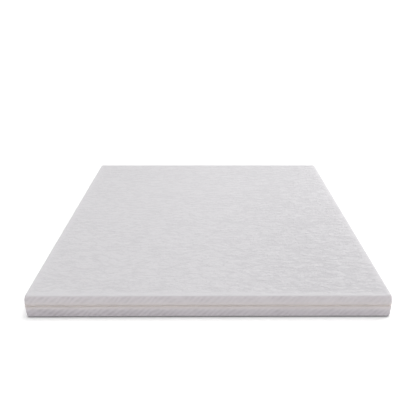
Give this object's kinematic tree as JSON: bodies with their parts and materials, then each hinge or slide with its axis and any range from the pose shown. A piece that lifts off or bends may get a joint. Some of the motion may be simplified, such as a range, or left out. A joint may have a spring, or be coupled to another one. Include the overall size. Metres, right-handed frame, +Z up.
{
  "type": "memory foam mattress",
  "caption": "Thin flat rectangular foam mattress in a white knit zip-off cover, with a crinkled top panel, ribbed border and a zip running round its sides.",
  "frame": {"origin": "middle of the underside, on the surface that the mattress lies on", "axes": "+X across the bed, +Y along the bed towards the head end (the end with the zip slider), +Z up"},
  "size_m": [1.524, 2.036, 0.102],
  "materials": {
    "top_knit": "matt white crinkled jacquard knit",
    "border_knit": "matt off-white knit with diagonal ribs",
    "base_cloth": "matt mid-grey woven cloth with non-slip dots",
    "barrier_felt": "matt needled fire barrier felt",
    "zip_fabric": "matt off-white herringbone zip tape",
    "zip_nylon": "satin off-white nylon coil",
    "zip_metal": "satin plated die-cast zinc",
    "memory_foam": "matt fine-celled foam",
    "support_foam": "matt open-celled foam",
    "label_satin": "satin woven label, blank"
  },
  "bodies": {
    "lower_cover": {"bottom_panel": "base_cloth", "lower_border": "border_knit", "lower_border_lining": "barrier_felt", "zip_tape_lower": "zip_fabric", "zip_coil_lower": "zip_nylon", "zip_end_patch": "border_knit", "care_label": "label_satin"},
    "foam_core": {"support_foam_base": "support_foam", "memory_foam_layer": "memory_foam"},
    "upper_cover": {"top_panel": "top_knit", "top_barrier_felt": "barrier_felt", "upper_border": "border_knit", "upper_border_lining": "barrier_felt", "zip_tape_upper": "zip_fabric", "zip_coil_upper": "zip_nylon"},
    "zip_slider": {"zip_slider_body": "zip_metal"},
    "pull_tab": {"zip_pull_tab": "zip_metal"}
  },
  "joints": [
    {"name": "core_lift", "type": "slide", "parent": "lower_cover", "child": "foam_core", "axis": [0, 0, 1], "range_m": [0, 0.15]},
    {"name": "cover_lift", "type": "slide", "parent": "foam_core", "child": "upper_cover", "axis": [0, 0, 1], "range_m": [0, 0.25]},
    {"name": "zip_travel", "type": "slide", "parent": "lower_cover", "child": "zip_slider", "axis": [-1, 0, 0], "range_m": [0, 1.377]},
    {"name": "tab_swing", "type": "hinge", "parent": "zip_slider", "child": "pull_tab", "pos_m": [0.6615, 1.01796, 0.057], "axis": [0, 0, -1], "range_deg": [0, 165]}
  ]
}
